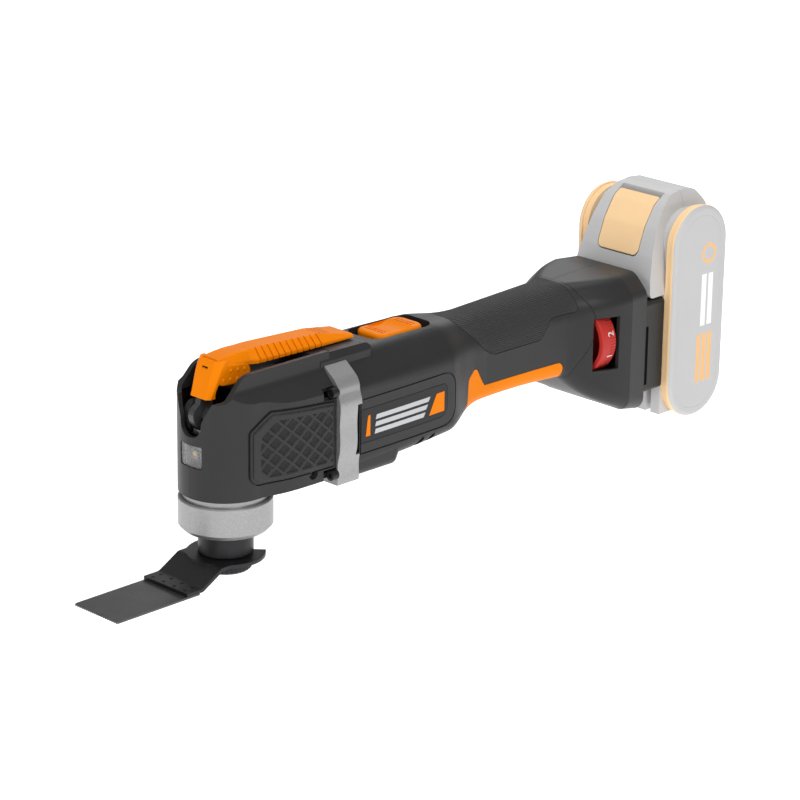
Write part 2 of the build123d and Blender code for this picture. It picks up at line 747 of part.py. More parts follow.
# ---------------------------------------------------------------- clamp lever
cam_base = 7.0
arm_half = 1.9
cam_points = []
for step in range(0, 37):
    turn = math.radians(step * 10)
    opened = math.degrees(turn)
    if opened <= lever_range:
        rise = clamp_travel * opened / lever_range
    elif opened < 180:
        rise = clamp_travel * (180 - opened) / (180 - lever_range)
    else:
        rise = 0.0
    cam_points.append((lever_pivot_x + (cam_base + rise) * math.sin(turn),
                       lever_pivot_z - (cam_base + rise) * math.cos(turn)))

with BuildPart() as lever_arm:
    add(side_prism(cam_points[:-1], [], -arm_half, arm_half))
    add(side_prism([(9.4, 55), (12.0, 70), (9, 76), (2, 78.5), (-40, 77.5), (-40, 80.5), (5, 82), (13, 80),
                    (16.8, 70), (22.0, 55)], [(2, 4), (3, 3), (6, 3), (7, 4)], -arm_half, arm_half))
    add(rod_y(lever_pivot_x, lever_pivot_z, -5, 5, lever_pin_radius + fit), mode=Mode.SUBTRACT)
save(lever_arm, "lever_arm")

with BuildPart() as lever_pin:
    add(rod_y(lever_pivot_x, lever_pivot_z, -10.4, 10.4, lever_pin_radius))
save(lever_pin, "lever_pin")


def lever_section(x, half, bottom, top, cut_y, cut_z):
    """Section across the lever cover: upright sides and sloped upper edges."""
    with BuildSketch(Plane.YZ.offset(x)) as face:
        with BuildLine():
            Polyline((half, bottom), (half, top - cut_z), (half - cut_y, top), (cut_y - half, top),
                     (-half, top - cut_z), (-half, bottom), close=True)
        make_face()
        fillet(face.vertices().filter_by(lambda v: v.Y > bottom + 1), 1.6)
    return face.sketch


def nose_section(z, front, back, half, slope):
    """Level section through the nose of the cover: narrow front face, splayed sides."""
    with BuildSketch(Plane.XY.offset(z)) as face:
        with BuildLine():
            Polyline((back, half), (front - slope, half), (front, half - slope), (front, slope - half),
                     (front - slope, -half), (back, -half), close=True)
        make_face()
        fillet(face.vertices().filter_by(lambda v: v.X > back + 0.5), 1.2)
    return face.sketch


cover_run = [
    (10.5, 7.9, 77.0, 85.2, 2.5, 3.5),
    (0.0, 8.2, 78.6, 86.4, 2.4, 5.0),
    (-10.5, 8.4, 78.8, 86.4, 2.6, 5.4),
    (-14.5, 10.4, 78.8, 86.4, 4.6, 5.6),
    (-20.0, 10.6, 78.8, 86.3, 4.8, 5.6),
    (-62.0, 10.8, 78.2, 84.2, 4.6, 4.4),
    (-84.5, 10.4, 77.9, 80.0, 2.0, 1.0),
]
ribs_from = -16.0
ribs_to = -60.0
ribs = 11
groove_width = 0.9
rib_pitch = (ribs_from - ribs_to) / (ribs - 1)
pad_middle = (1.3, 75.9)
pad_half = 8.7
slot_half = arm_half + 0.3
pad_length = 24.5
pad_height = 11.6
with BuildPart() as finger_pads:
    with BuildSketch(Plane.XZ.offset(-pad_half)):
        with Locations(pad_middle):
            SlotOverall(pad_length, pad_height, rotation=6)
    extrude(amount=2 * pad_half)
    fillet(finger_pads.edges().filter_by(lambda e: abs(e.center().Y) > pad_half - 0.1), 1.4)

with BuildPart() as lever_cover:
    loft(sections=[lever_section(*station) for station in cover_run[:3]])
    loft(sections=[lever_section(*station) for station in cover_run[2:]], ruled=True)
    loft(sections=[nose_section(65.0, 19.2, 13.8, 7.8, 2.0), nose_section(72.0, 17.0, 12.4, 8.6, 2.6),
                   nose_section(79.0, 14.8, 8.0, 9.4, 3.2), nose_section(84.4, 12.4, 6.0, 9.6, 3.8)])
    add(finger_pads.part)
    add(block(-38, 9.0, -slot_half, slot_half, 60, 82.4), mode=Mode.SUBTRACT)
    add(block(-41, -30, -slot_half, slot_half, 60, 81.0), mode=Mode.SUBTRACT)
    add(side_prism([(9.0, 55), (11.0, 70), (8.0, 76), (8.0, 83), (14, 81.2), (17.4, 70), (20.8, 55)], [],
                   -slot_half, slot_half), mode=Mode.SUBTRACT)
    for groove in range(ribs):
        x = ribs_from - groove * rib_pitch
        back = (ribs_from - x) / (ribs_from - ribs_to)
        with BuildSketch(Plane.YZ.offset(x - groove_width / 2)):
            with BuildLine():
                Polyline((9.9 + 0.2 * back, 76), (9.9 + 0.2 * back, 80.4 - 0.9 * back),
                         (5.2 + 0.4 * back, 85.9 - 2.1 * back), (5.2 + 0.4 * back, 90), (14, 90), (14, 76), close=True)
            make_face()
            mirror(about=Plane.YZ)
        extrude(amount=groove_width, mode=Mode.SUBTRACT)
    for x in (-63.0, -66.5, -70.0):
        add(block(x - 0.4, x + 0.4, -6.4, 6.4, 81.6 + 0.19 * (x + 70), 90), mode=Mode.SUBTRACT)
save(lever_cover, "lever_cover")

# ---------------------------------------------------------------- work light
with BuildPart() as led_lens:
    add(head_solid(0.5))
    add(head_solid(wall), mode=Mode.SUBTRACT)
    add(block(10, 30, -7.8, 7.8, 28.4, 40.0), mode=Mode.INTERSECT)
save(led_lens, "led_lens")

with BuildPart() as led_board:
    add(block(17.6, 18.8, -9.5, 9.5, 25.5, 41.5))
    add(block(18.8, 19.8, -3.6, 1.0, 31.0, 36.0))
    add(block(18.8, 19.6, 2.6, 5.6, 32.0, 35.0))
save(led_board, "led_board")

# ---------------------------------------------------------------- motor
with BuildPart() as motor_can:
    add(rod_x(can_rear, can_front, can_radius, hole=can_radius - 1.3))
    add(rod_x(can_front, can_front + 1.6, can_radius, hole=6.0))
    with BuildSketch(Plane.YZ.offset(can_front - 1)):
        with Locations((0, shaft_height)):
            with PolarLocations(13, 4):
                SlotOverall(9, 4)
    extrude(amount=4, mode=Mode.SUBTRACT)
save(motor_can, "motor_can")

with BuildPart() as motor_rear_cap:
    add(rod_x(can_rear - 3.0, can_rear, can_radius, hole=8.0))
    add(rod_x(can_rear - 9.0, can_rear - 3.0, 10.4, hole=8.0))
    for side in (-1, 1):
        add(block(can_rear, can_rear + 9.0, -4.6, 4.6, shaft_height + side * 9.8, shaft_height + side * 18.4))
        add(block(can_rear + 1.2, can_rear + 10, -3.05, 3.05, shaft_height + side * 9.0,
                  shaft_height + side * 17.0), mode=Mode.SUBTRACT)
save(motor_rear_cap, "motor_rear_cap")

with BuildPart() as magnets:
    add(rod_x(can_front - 5, can_rear + 12, can_radius - 1.3, hole=15.2))
    add(block(-120, -50, -40, 40, shaft_height - 5.5, shaft_height + 5.5), mode=Mode.SUBTRACT)
save(magnets, "motor_magnets")

slots = 12
with BuildPart() as armature_core:
    add(rod_x(can_front - 7, can_rear + 14, 14.6, hole=4.0))
    with BuildSketch(Plane.YZ.offset(can_rear + 13)):
        with Locations((0, shaft_height)):
            with PolarLocations(12.6, slots):
                Rectangle(4.6, 1.1)
    extrude(amount=40, mode=Mode.SUBTRACT)
save(armature_core, "armature_core")

with BuildPart() as windings:
    for start, end in ((can_front - 7, can_front - 2.6), (can_rear + 14, can_rear + 10.4)):
        with BuildPart() as ring:
            add(rod_x(start, end, 13.2, hole=5.2))
            fillet(ring.edges().filter_by(GeomType.CIRCLE).group_by(Axis.X)[0 if end < start else -1], 1.4)
        add(ring.part)
save(windings, "armature_windings")

with BuildPart() as commutator:
    add(rod_x(can_rear + 1.6, can_rear + 9.2, 8.0, hole=4.0))
    with BuildSketch(Plane.YZ.offset(can_rear + 2.6)):
        with Locations((0, shaft_height)):
            with PolarLocations(8.0, slots):
                Rectangle(1.6, 0.5)
    extrude(amount=9, mode=Mode.SUBTRACT)
save(commutator, "commutator")

with BuildPart() as brushes:
    for side in (-1, 1):
        add(block(can_rear + 2.4, can_rear + 8.4, -3.0, 3.0, shaft_height + side * 8.3, shaft_height + side * 16.0))
save(brushes, "carbon_brushes")

with BuildPart() as motor_shaft:
    add(rod_x(-33, can_rear + 0.6, 4.0))
    add(rod_x(can_rear + 0.6, can_rear - 8.6, 2.5))
save(motor_shaft, "motor_shaft")

with BuildPart() as motor_bearings:
    add(bearing_x(-45, -38, 11.0, 4.0 + fit))
    add(bearing_x(can_rear - 8.2, can_rear - 3.2, 8.0, 2.5 + fit))
save(motor_bearings, "motor_bearings")

with BuildPart() as fan:
    add(rod_x(-53.6, -48.0, 7.0, hole=4.0))
    add(rod_x(-54.4, -53.2, 18.0, hole=4.0))
    with BuildSketch(Plane.YZ.offset(-53.2)):
        with Locations((0, shaft_height)):
            with PolarLocations(12.2, 11):
                Rectangle(11.4, 1.2, rotation=24)
    extrude(amount=5.0)
save(fan, "cooling_fan")

with BuildPart() as eccentric:
    add(rod_x(-34.5, -29.0, 8.6))
    add(rod_x(-34.6, -33.0, 4.0), mode=Mode.SUBTRACT)
    add(rod_x(-29.0, -19.2, 3.0, 0.0, shaft_height + throw))
save(eccentric, "eccentric")

with BuildPart() as eccentric_bearing:
    add(bearing_x(-25.6, -20.4, 7.5, 3.0, shaft_height + throw))
save(eccentric_bearing, "eccentric_bearing")

# ---------------------------------------------------------------- switch, speed wheel, electronics
with BuildPart() as power_switch:
    with BuildSketch(Plane.XY.offset(67.0)):
        with Locations(((switch_front + switch_rear) / 2, 0)):
            RectangleRounded(switch_front - switch_rear, 2 * switch_half, 6)
    extrude(amount=7.0)
    fillet(power_switch.edges().group_by(Axis.Z)[-1], 2.2)
    with BuildSketch(Plane.XZ.offset(-10)):
        with Locations(((switch_front + switch_rear) / 2, 74.0 + 20.8)):
            Circle(22.6)
    extrude(amount=20, mode=Mode.SUBTRACT)
    for x in (switch_front - 5.2, switch_front - 7.6, switch_rear + 7.6, switch_rear + 5.2):
        add(block(x - 0.5, x + 0.5, -7.2, 7.2, 73.6, 75), mode=Mode.SUBTRACT)
    add(block(-118, -124, -3, 3, 57.6, 67.2))
    add(block(-116, -149.0, -5, 5, 57.6, 59.4))
    add(block(-146.6, -149.0, -5, 5, 57.6, 61.0))
save(power_switch, "power_switch")

with BuildPart() as switch_body:
    add(block(-149.8, -172, -7, 7, 48.0, 61.0))
    add(block(-153, -157, -8, 8, 50, 59), mode=Mode.SUBTRACT)
    add(block(-153, -157, -6.4, 6.4, 49.9, 59.1))
save(switch_body, "switch_body")

with BuildPart() as control_board:
    add(block(-196, -244, -13, 13, 44.0, 45.6))
    add(block(-201, -215, -9, 9, 45.6, 53.0))
    add(rod_x(-219, -234, 5.0, 6.0, 50.3))
    add(block(-220, -230, -10, -2, 45.6, 48.6))
save(control_board, "control_board")

with BuildPart() as speed_sensor:
    add(block(-250, -260.5, 5.0, 19.0, dial_z - 6, dial_z + 6))
    add(rod_x(-260.5, -277.5, 2.0, dial_centre, dial_z))
save(speed_sensor, "speed_potentiometer")

with BuildPart() as speed_dial:
    add(rod_x(dial_back, dial_front, dial_outer, dial_centre, dial_z))
    chamfer(speed_dial.edges().filter_by(GeomType.CIRCLE), 0.6)
    with BuildSketch(Plane.YZ.offset(dial_back - 1)):
        with Locations((dial_centre, dial_z)):
            with PolarLocations(dial_outer + 0.25, 72):
                Circle(0.55)
    extrude(amount=6.0, mode=Mode.SUBTRACT)
    add(rod_x(dial_back + 2.0, dial_front + 1, dial_outer - 3.0, dial_centre, dial_z), mode=Mode.SUBTRACT)
    add(rod_x(dial_back, dial_front - 1.0, 5.0, dial_centre, dial_z))
    add(rod_x(dial_back - 1, dial_front + 1, 2.0 + fit, dial_centre, dial_z), mode=Mode.SUBTRACT)
save(speed_dial, "speed_dial")

# ---------------------------------------------------------------- battery mount
rail_depth = 6.6
rails_z = (2.0, 54.0)
with BuildPart() as rail_block:
    with BuildSketch(Plane.YZ.offset(rail_rear)):
        with Locations((0, (rail_top + rail_bottom) / 2)):
            RectangleRounded(2 * rail_half, rail_top - rail_bottom, 2.5)
    extrude(amount=foot_rear - rail_rear)
    for side in (-1, 1):
        add(block(rail_rear, rail_rear - rail_depth, side * 20.6, side * 24.0, *rails_z))
        add(block(rail_rear - 3.6, rail_rear - rail_depth, side * 24.0, side * 27.6, *rails_z))

with BuildPart() as foot_plug:
    extrude(body_section(*foot_end, inset=wall + 0.9), amount=4.0)

blade_y = (-9.0, 0.0, 9.0)
with BuildPart() as terminal_block:
    add(block(rail_rear + 3.4, rail_rear - 8.6, -14, 14, 4.0, 20.0))
    for y in blade_y:
        add(block(rail_rear - 2.6, rail_rear - 6.6, y - 0.5, y + 0.5, 10.0, 21.0), mode=Mode.SUBTRACT)
save(terminal_block, "terminal_block")

with BuildPart() as rail_plate:
    add(rail_block.part)
    add(foot_plug.part)
    add(block(foot_rear + 5, rail_rear + 3.4, -26, 26, 6, 50), mode=Mode.SUBTRACT)
    for side in (-1, 1):
        add(block(foot_rear - 1.2, foot_rear - 4.6, side * 30.4, side * 34, 5, 41), mode=Mode.SUBTRACT)
    add(terminal_block.part, mode=Mode.SUBTRACT)
save(rail_plate, "rail_plate")

with BuildPart() as terminal_blades:
    for y in blade_y:
        add(block(rail_rear - 2.6, rail_rear - 6.6, y - 0.5, y + 0.5, 10.0, 43.0))
save(terminal_blades, "terminal_blades")

# ---------------------------------------------------------------- battery pack
split_x = -344.0
tower_outline = [(battery_front, -17.5), (battery_front, 57.2), (-307.6, 57.2), (-309.4, 68), (-312.6, 80),
                 (-318.6, 96), (-326.5, 108), (-335, 113.6), (-346, 115), (-357, 113.6), (-365, 104),
                 (-366.4, 92), (-366.4, -8), (-358, -17.5)]
tower_rounds = [(2, 2.5), (3, 8), (4, 12), (5, 14), (6, 10), (7, 8), (8, 12), (9, 5), (10, 8), (12, 8),
                (13, 8)]


def stadium(shrink, y_from, y_to):
    """Upright stadium shape of the pack's sides."""
    width = battery_front - battery_back - 2 * shrink
    height = battery_high - battery_low - 2 * shrink
    with BuildPart() as solid:
        with BuildSketch(Plane.XZ.offset(-y_from)):
            with Locations(((battery_front + battery_back) / 2, (battery_high + battery_low) / 2)):
                RectangleRounded(width, height, width / 2 - 0.6)
        extrude(amount=y_from - y_to)
    return solid.part


with BuildPart() as pack:
    add(side_prism(tower_outline, tower_rounds, -31.0, 31.0))
    with BuildSketch(Plane.YZ.offset(-370)) as across:
        with BuildLine():
            Polyline((31, -30), (31, 58), (23.0, 108), (18, 120), (-18, 120), (-23.0, 108), (-31, 58),
                     (-31, -30), close=True)
        make_face()
        fillet(across.vertices().filter_by(lambda v: 100 < v.Y < 112), 6)
    extrude(amount=70, mode=Mode.INTERSECT)
    add(stadium(3.6, -34.6, 34.6))
    add(block(-345.2, -364.4, -33, 33, -6, 96), mode=Mode.SUBTRACT)

groove = running
with BuildPart() as rail_grooves:
    for side in (-1, 1):
        add(block(-310, rail_rear - rail_depth - groove, side * (20.6 - groove), side * (24.0 + groove), -30, 56.9))
        add(block(rail_rear - 3.6 + groove, rail_rear - rail_depth - groove, side * 23.8,
                  side * (27.6 + groove), -30, 56.9))
    add(block(-310, rail_rear - 9.2, -14.6, 14.6, -30, 47.0))

button_half = 15.4


def rounded_front(half, bottom, top, radius):
    """Rounded upright bar along X, for the outline of the release button seen from the front."""
    with BuildPart() as solid:
        with BuildSketch(Plane.YZ.offset(-345)):
            with Locations((0, (bottom + top) / 2)):
                RectangleRounded(2 * half, top - bottom, radius)
        extrude(amount=50)
    return solid.part


with BuildPart() as button_pocket:
    add(side_prism([(-300, 78.4), (-315.8, 78.4), (-335.2, 108.8), (-336.2, 118), (-300, 118)], [],
                   -button_half - 0.6, button_half + 0.6))
    add(rounded_front(button_half + 0.6, 78.4, 125, 4.4), mode=Mode.INTERSECT)

with BuildPart() as battery_front_case:
    add(pack.part)
    add(block(split_x, -300, -60, 60, -60, 160), mode=Mode.INTERSECT)
    add(rail_grooves.part, mode=Mode.SUBTRACT)
    add(button_pocket.part, mode=Mode.SUBTRACT)
    add(block(-321.5, -343.0, -18, 18, 62, 76), mode=Mode.SUBTRACT)
    add(block(-329.2, -332.0, -17.2, 17.2, 3.8, 50.2), mode=Mode.SUBTRACT)
save(battery_front_case, "battery_front_case")

with BuildPart() as battery_rear_case:
    add(pack.part)
    add(block(-400, split_x - 0.15, -60, 60, -60, 160), mode=Mode.INTERSECT)
save(battery_rear_case, "battery_rear_case")

with BuildPart() as stripes:
    for side in (-1, 1):
        add(stadium(0.9, side * stripe_inner if side > 0 else -stripe_outer,
                    stripe_outer if side > 0 else -stripe_inner))
    add(stadium(3.6, -34.6, 34.6), mode=Mode.SUBTRACT)
    add(side_prism(tower_outline, tower_rounds, -31.0, 31.0), mode=Mode.SUBTRACT)
save(stripes, "battery_stripes")

with BuildPart() as covers:
    for side in (-1, 1):
        with BuildPart() as cover:
            add(stadium(0.0, side * stripe_outer if side > 0 else -battery_half,
                        battery_half if side > 0 else -stripe_outer))
            fillet(cover.faces().sort_by(Axis.Y)[-1 if side > 0 else 0].edges(), 2.6)
        add(cover.part)
halves(covers.part, "battery_cover")

with BuildPart() as cells:
    for cell in range(5):
        add(rod_y(-354.8, 6.2 + 19.0 * cell, -32.5, 32.5, 9.2))
save(cells, "battery_cells")

with BuildPart() as battery_board:
    add(block(-330.2, -331.6, -17, 17, 4, 50))
save(battery_board, "battery_board")

with BuildPart() as battery_terminal:
    add(block(-321.4, -329.0, -13.8, 13.8, 24.0, 46.6))
    for y in blade_y:
        add(block(rail_rear - 2.0, rail_rear - 7.2, y - 1.0, y + 1.0, 23.0, 45.0), mode=Mode.SUBTRACT)
save(battery_terminal, "battery_terminal")

with BuildPart() as battery_button:
    add(pack.part)
    add(side_prism([(-300, 79.2), (-312.4, 79.2), (-331.6, 109.6), (-333.0, 118), (-300, 118)], [],
                   -button_half, button_half), mode=Mode.INTERSECT)
    add(rounded_front(button_half, 79.2, 113.4, 4.0), mode=Mode.INTERSECT)
save(battery_button, "battery_button")
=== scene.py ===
import json
import math

import bmesh
import bpy
from mathutils import Matrix, Vector
from mathutils.bvhtree import BVHTree


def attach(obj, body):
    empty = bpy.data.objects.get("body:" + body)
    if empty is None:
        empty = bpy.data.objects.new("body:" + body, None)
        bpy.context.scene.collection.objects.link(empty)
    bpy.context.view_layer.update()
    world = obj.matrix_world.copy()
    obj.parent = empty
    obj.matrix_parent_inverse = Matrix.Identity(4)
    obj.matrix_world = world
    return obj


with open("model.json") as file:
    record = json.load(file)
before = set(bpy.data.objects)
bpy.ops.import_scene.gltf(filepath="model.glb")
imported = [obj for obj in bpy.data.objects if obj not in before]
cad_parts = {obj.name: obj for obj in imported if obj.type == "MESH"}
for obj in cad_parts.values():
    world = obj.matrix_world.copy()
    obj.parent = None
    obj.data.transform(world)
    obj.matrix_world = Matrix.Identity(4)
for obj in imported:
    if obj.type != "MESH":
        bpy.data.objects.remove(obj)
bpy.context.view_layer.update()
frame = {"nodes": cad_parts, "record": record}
nodes = frame["nodes"]
MM = 0.001


# ------------------------------------------------------------------ materials
def linear(red, green, blue):
    """Display colour, 0 to 255, as linear light."""
    def one(value):
        value /= 255
        return value / 12.92 if value <= 0.04045 else ((value + 0.055) / 1.055) ** 2.4
    return (one(red), one(green), one(blue), 1.0)


def scaled(colour, factor):
    return tuple(min(1.0, channel * factor) for channel in colour[:3]) + (1.0,)


class Graph:
    """Short names for the shader nodes used below."""

    def __init__(self, name):
        self.material = bpy.data.materials.new(name)
        self.material.use_nodes = True
        self.tree = self.material.node_tree
        self.shader = self.tree.nodes["Principled BSDF"]
        self.coordinate = self.add("TexCoord").outputs["Object"]

    def add(self, kind, **settings):
        node = self.tree.nodes.new("ShaderNode" + kind)
        for key, value in settings.items():
            setattr(node, key, value)
        return node

    def link(self, start, end):
        self.tree.links.new(start, end)

    def axes(self):
        """The X, Y and Z of the frame, in metres."""
        split = self.add("SeparateXYZ")
        self.link(self.coordinate, split.inputs[0])
        return split.outputs["X"], split.outputs["Y"], split.outputs["Z"]

    def distance(self, first, second):
        total = self.math("ADD", self.math("MULTIPLY", first, first), self.math("MULTIPLY", second, second))
        return self.math("SQRT", total)

    def noise(self, scale, detail=2.0, stretch=None):
        node = self.add("TexNoise")
        node.inputs["Scale"].default_value = scale
        node.inputs["Detail"].default_value = detail
        place = self.coordinate
        if stretch:
            mapping = self.add("Mapping")
            mapping.inputs["Scale"].default_value = stretch
            self.link(place, mapping.inputs["Vector"])
            place = mapping.outputs["Vector"]
        self.link(place, node.inputs["Vector"])
        return node.outputs["Fac"]

    def math(self, operation, first, second=None):
        node = self.add("Math", operation=operation)
        for socket, value in zip(node.inputs, (first, second)):
            if value is None:
                continue
            if isinstance(value, (int, float)):
                socket.default_value = value
            else:
                self.link(value, socket)
        return node.outputs[0]

    def span(self, value, low, high, to_low, to_high):
        node = self.add("MapRange")
        self.link(value, node.inputs["Value"])
        for name, number in (("From Min", low), ("From Max", high), ("To Min", to_low), ("To Max", to_high)):
            node.inputs[name].default_value = number
        return node.outputs["Result"]

    def mix(self, factor, first, second):
        node = self.add("Mix", data_type="RGBA")
        self.link(factor, node.inputs[0])
        for socket, value in ((node.inputs[6], first), (node.inputs[7], second)):
            if isinstance(value, tuple):
                socket.default_value = value
            else:
                self.link(value, socket)
        return node.outputs[2]

    def bump(self, height, distance, normal=None):
        node = self.add("Bump")
        node.inputs["Strength"].default_value = 1.0
        node.inputs["Distance"].default_value = distance
        self.link(height, node.inputs["Height"])
        if normal:
            self.link(normal, node.inputs["Normal"])
        return node.outputs["Normal"]


relief_depth = 0.15
worn_tint = 2.2
speckle_tint = 1.7


def surface(name, colour, rough=(0.42, 0.56), metallic=0.0, shade=0.9, patches=35.0, grain=2600.0, depth=0.02,
            wear=0.12, speckle=0.0, brushed=None, relief=None, rounding=0.3, shine=0.5, prints=None):
    """Plastic, rubber or metal: patchy colour, fine grain, lighter worn edges, softly rounded corners."""
    g = Graph(name)
    wide = g.noise(patches, 4.0)
    fine = g.noise(grain, 3.0, brushed)
    body = g.mix(g.span(wide, 0.3, 0.7, 0.0, 1.0), scaled(colour, shade), colour)
    if speckle:
        dots = g.span(g.noise(1500.0, 1.0), 0.45, 0.72, 0.0, speckle)
        body = g.mix(dots, body, scaled(colour, speckle_tint))
    if prints:
        for mask, ink in prints(g):
            body = g.mix(mask, body, ink)
    rounded = g.add("Bevel")
    rounded.samples = 4
    rounded.inputs["Radius"].default_value = rounding * MM
    facing = g.add("VectorMath", operation="DOT_PRODUCT")
    g.link(rounded.outputs["Normal"], facing.inputs[0])
    g.link(g.add("NewGeometry").outputs["Normal"], facing.inputs[1])
    edge = g.span(facing.outputs["Value"], 0.995, 0.8, 0.0, wear)
    edge = g.math("MULTIPLY", edge, g.span(wide, 0.35, 0.65, 0.5, 1.0))
    g.link(g.mix(edge, body, scaled(colour, worn_tint)), g.shader.inputs["Base Color"])
    g.link(g.span(fine, 0.3, 0.7, *rough), g.shader.inputs["Roughness"])
    g.shader.inputs["Metallic"].default_value = metallic
    g.shader.inputs["Specular IOR Level"].default_value = shine
    normal = g.bump(fine, depth * MM, rounded.outputs["Normal"])
    if relief:
        normal = g.bump(relief(g), relief_depth * MM, normal)
    g.link(normal, g.shader.inputs["Normal"])
    return g.material


handle_middle = 46.0
grip_rib_count = 120.0


def grip_ribs(g):
    """Fine ribs that run along the handle, spaced round its section."""
    _, across, height = g.axes()
    turn = g.math("ARCTAN2", across, g.math("SUBTRACT", height, handle_middle * MM))
    return g.math("SINE", g.math("MULTIPLY", turn, grip_rib_count))


def bar_mask(g, along, height, x_range, z_range):
    """One inside an upright rectangle of the side view, zero outside it."""
    mask = None
    for value, (low, high) in ((along, x_range), (height, z_range)):
        away = g.math("ABSOLUTE", g.math("SUBTRACT", value, (low + high) / 2 * MM))
        within = g.math("LESS_THAN", away, (high - low) / 2 * MM)
        mask = within if mask is None else g.math("MULTIPLY", mask, within)
    return mask


pack_ink = linear(249, 190, 122)
pack_white = linear(252, 252, 252)
pack_orange = linear(255, 216, 164)
stripe_edge = 36.8
bars = ((pack_ink, (-347.2, -352.2, -357.2), 3.4, (-1.0, 29.0)),
        (pack_white, (-350.4, -356.4), 4.2, (34.0, 66.0)))
ring_middle = (-351.8, 78.5)
ring_radius = 5.4
ring_half = 0.9


def cover_prints(g):
    """Orange inner edge, plain bars and a ring on the battery side covers."""
    along, across, height = g.axes()
    marks = [(g.math("LESS_THAN", g.math("ABSOLUTE", across), stripe_edge * MM), pack_orange)]
    for ink, starts, width, z_range in bars:
        for low in starts:
            marks.append((bar_mask(g, along, height, (low, low + width), z_range), ink))
    far = g.distance(g.math("SUBTRACT", along, ring_middle[0] * MM),
                     g.math("SUBTRACT", height, ring_middle[1] * MM))
    away = g.math("ABSOLUTE", g.math("SUBTRACT", far, ring_radius * MM))
    marks.append((g.math("LESS_THAN", away, ring_half * MM), pack_ink))
    return marks


cover_middle = (-344.4, 43.5)
cover_straight = 41.1
groove_radius = 18.5
groove_half = 0.55


def cover_groove(g):
    """A fine groove that follows the rim of each battery side cover."""
    x, _, z = g.axes()
    height = g.math("ABSOLUTE", g.math("SUBTRACT", z, cover_middle[1] * MM))
    past = g.math("MAXIMUM", g.math("SUBTRACT", height, cover_straight * MM), 0.0)
    far = g.distance(g.math("SUBTRACT", x, cover_middle[0] * MM), past)
    away = g.math("ABSOLUTE", g.math("SUBTRACT", far, groove_radius * MM))
    return g.span(away, 0.0, groove_half * MM, 0.0, 1.0)


finishes = {
    "charcoal": surface("charcoal_moulded", linear(42, 42, 43), rough=(0.34, 0.46), depth=0.045, shine=0.3),
    "label": surface("label_smooth", linear(40, 40, 41), rough=(0.34, 0.44), depth=0.008, shine=0.22),
    "rubber_dark": surface("rubber_moulded", linear(40, 40, 41), rough=(0.6, 0.75), depth=0.05, wear=0.08,
                           shine=0.3),
    "orange": surface("orange_moulded", linear(244, 132, 0), rough=(0.38, 0.5), shade=0.94, wear=0.02,
                      depth=0.015, shine=0.08),
    "band_steel": surface("band_speckled", linear(160, 160, 161), rough=(0.34, 0.48), metallic=0.65, shade=0.94,
                          grain=1700.0, depth=0.03, speckle=0.22, wear=0.2),
    "collar_alloy": surface("collar_speckled", linear(158, 158, 159), rough=(0.32, 0.46), metallic=0.75,
                            shade=0.95, grain=1900.0, depth=0.025, speckle=0.25, wear=0.15),
    "blackened": surface("steel_blackened", linear(44, 44, 46), rough=(0.36, 0.5), metallic=0.55, wear=0.25),
    "steel": surface("steel_ground", linear(176, 176, 178), rough=(0.25, 0.38), metallic=1.0, shade=0.92,
                     brushed=(1.0, 12.0, 12.0), grain=500.0, depth=0.01),
    "blade_steel": surface("blade_rolled", linear(88, 88, 89), rough=(0.3, 0.46), metallic=0.75, shade=0.86,
                           brushed=(0.35, 6.0, 1.0), grain=900.0, depth=0.012, patches=60.0, wear=0.3),
    "copper": surface("copper_drawn", linear(196, 118, 74), rough=(0.28, 0.4), metallic=1.0, grain=900.0),
    "black_plastic": surface("black_moulded", linear(30, 30, 31), rough=(0.4, 0.55), depth=0.02),
    "red_plastic": surface("red_moulded", linear(190, 50, 44), rough=(0.42, 0.54), shade=0.9, wear=0.04,
                           shine=0.25),
    "circuit": surface("circuit_lacquer", linear(30, 92, 56), rough=(0.25, 0.4), depth=0.02),
    "pack_grey": surface("pack_grey_moulded", linear(199, 199, 199), rough=(0.48, 0.6), shade=0.97, wear=0.04),
    "pack_orange": surface("pack_orange_moulded", pack_orange, rough=(0.48, 0.6), shade=0.97, wear=0.02),
    "cell_wrap": surface("cell_sleeve", linear(60, 110, 150), rough=(0.25, 0.35), depth=0.004),
    "graphite": surface("graphite_pressed", linear(62, 62, 64), rough=(0.55, 0.7), depth=0.03),
    "magnet": surface("ferrite_sintered", linear(72, 72, 76), rough=(0.5, 0.65), depth=0.03),
}
grip_finish = surface("grip_ribbed", linear(46, 46, 47), rough=(0.55, 0.7), shine=0.35, depth=0.03, wear=0.06,
                      relief=grip_ribs)
ridge_finish = surface("pad_ridges", linear(48, 48, 49), shine=0.3, rough=(0.5, 0.62), depth=0.02, wear=0.1)
cover_finish = surface("pack_cover_moulded", linear(197, 197, 197), rough=(0.48, 0.6), shade=0.97, wear=0.04,
                       relief=cover_groove, prints=cover_prints)
# Pad recesses: the coarse grain is real; the colour, much darker than the ridges, is painted shade in the
# recesses.
recess_grain_and_painted_shade = surface("pad_recess_grain_and_painted_shade", linear(27, 27, 28), rough=(0.7, 0.85), grain=1400.0, depth=0.12, wear=0.0)
arm_finish = surface("lever_arm_steel", linear(78, 78, 80), rough=(0.3, 0.42), metallic=0.5, wear=0.3)
board_finish = surface("light_board_silver", linear(150, 156, 153), rough=(0.22, 0.4), metallic=0.45,
                       patches=420.0, shade=0.55, depth=0.05)
silver_print = surface("print_silver", linear(196, 198, 200), rough=(0.4, 0.5), shade=0.95, wear=0.0,
                       depth=0.004)
white_print = surface("print_white", linear(238, 238, 236), rough=(0.45, 0.55), shade=0.97, wear=0.0,
                      depth=0.004)


